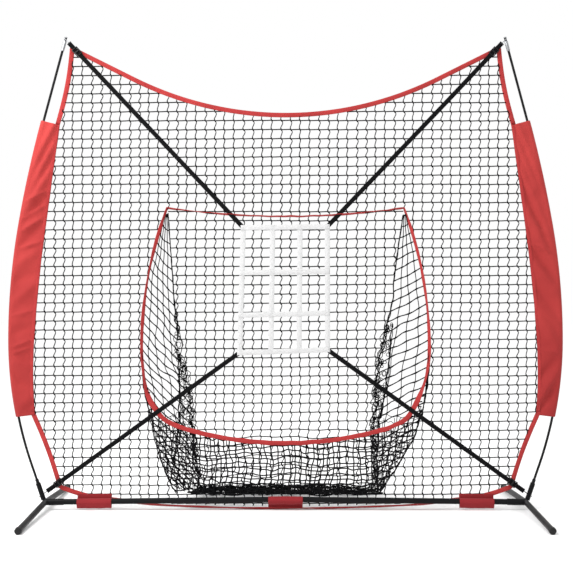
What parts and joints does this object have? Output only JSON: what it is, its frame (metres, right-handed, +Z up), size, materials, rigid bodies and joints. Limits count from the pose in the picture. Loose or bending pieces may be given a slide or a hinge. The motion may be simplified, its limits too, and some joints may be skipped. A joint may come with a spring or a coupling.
{
  "type": "pitching target net",
  "caption": "Free-standing net on a bowed-pole frame, with a webbing strike-zone target strapped in front of a catching pocket.",
  "frame": {"origin": "on the ground under the middle of the base bar", "axes": "+X to the right as the pitcher sees the net, +Y away from the pitcher, +Z up"},
  "size_m": [2.1594, 1.081, 1.8412],
  "materials": {
    "painted_steel": "black powder coat, half gloss",
    "cap_plastic": "moulded, matt",
    "buckle_plastic": "moulded, half gloss",
    "spring_steel": "blued strip",
    "zinc_steel": "zinc plated",
    "wire_steel": "zinc plated wire",
    "ferrule_aluminium": "turned, bright",
    "ferrule_steel": "blackened tube",
    "fibreglass": "pultruded rod, black resin",
    "sleeve_cloth": "woven polyester, red",
    "tab_cloth": "woven polyester, dark red",
    "edge_tape": "woven tape, red",
    "net_cord": "knotted polyethylene twine, black",
    "strap_webbing": "polyester webbing, black",
    "target_webbing": "polyester webbing, white"
  },
  "bodies": {
    "net_and_frame": {"right_foot": "painted_steel", "left_foot": "painted_steel", "right_end_caps": "cap_plastic", "left_end_caps": "cap_plastic", "right_bar": "painted_steel", "left_bar": "painted_steel", "bar_spigot": "painted_steel", "right_button_spring": "spring_steel", "left_button_spring": "spring_steel", "middle_button_spring": "spring_steel", "right_lower_pole": "fibreglass", "left_lower_pole": "fibreglass", "right_upper_pole": "fibreglass", "left_upper_pole": "fibreglass", "main_net": "net_cord", "bottom_binding": "edge_tape", "top_binding": "edge_tape", "right_sleeve": "sleeve_cloth", "left_sleeve": "sleeve_cloth", "mouth_binding": "edge_tape", "pocket_front_net": "net_cord", "pocket_back_net": "net_cord", "right_pocket_side_net": "net_cord", "left_pocket_side_net": "net_cord", "pocket_floor_net": "net_cord", "pocket_gather": "net_cord", "target_webbing": "target_webbing", "right_upper_strap": "strap_webbing", "left_upper_strap": "strap_webbing", "right_lower_strap": "strap_webbing", "left_lower_strap": "strap_webbing", "right_upper_hook": "wire_steel", "left_upper_hook": "wire_steel", "right_lower_hook": "wire_steel", "left_lower_hook": "wire_steel", "right_bar_tab": "tab_cloth", "left_bar_tab": "tab_cloth", "middle_bar_tab": "tab_cloth"},
    "right_snap_button": {"right_snap_button": "zinc_steel"},
    "left_snap_button": {"left_snap_button": "zinc_steel"},
    "middle_snap_button": {"middle_snap_button": "zinc_steel"},
    "right_upper_buckle": {"right_upper_buckle": "buckle_plastic"},
    "left_upper_buckle": {"left_upper_buckle": "buckle_plastic"},
    "right_lower_buckle": {"right_lower_buckle": "buckle_plastic"},
    "left_lower_buckle": {"left_lower_buckle": "buckle_plastic"}
  },
  "joints": [
    {"name": "right_button_press", "type": "slide", "parent": "net_and_frame", "child": "right_snap_button", "axis": [0, -1, 0], "range_m": [0, 0.0042], "stiffness_N_per_m": 1500, "springref_m": -0.003, "deforming": ["right_button_spring"]},
    {"name": "left_button_press", "type": "slide", "parent": "net_and_frame", "child": "left_snap_button", "axis": [0, -1, 0], "range_m": [0, 0.0042], "stiffness_N_per_m": 1500, "springref_m": -0.003, "deforming": ["left_button_spring"]},
    {"name": "middle_button_press", "type": "slide", "parent": "net_and_frame", "child": "middle_snap_button", "axis": [0, 0, 1], "range_m": [0, 0.0036], "stiffness_N_per_m": 1500, "springref_m": -0.003, "deforming": ["middle_button_spring"]},
    {"name": "right_upper_buckle_slide", "type": "slide", "parent": "net_and_frame", "child": "right_upper_buckle", "axis": [-0.6862, 0, -0.7274], "range_m": [0, 0.12]},
    {"name": "right_lower_buckle_slide", "type": "slide", "parent": "net_and_frame", "child": "right_lower_buckle", "axis": [-0.8129, 0, 0.5825], "range_m": [0, 0.12]},
    {"name": "left_upper_buckle_slide", "type": "slide", "parent": "net_and_frame", "child": "left_upper_buckle", "axis": [0.6862, 0, -0.7274], "range_m": [0, 0.12]},
    {"name": "left_lower_buckle_slide", "type": "slide", "parent": "net_and_frame", "child": "left_lower_buckle", "axis": [0.8129, 0, 0.5825], "range_m": [0, 0.12]}
  ]
}
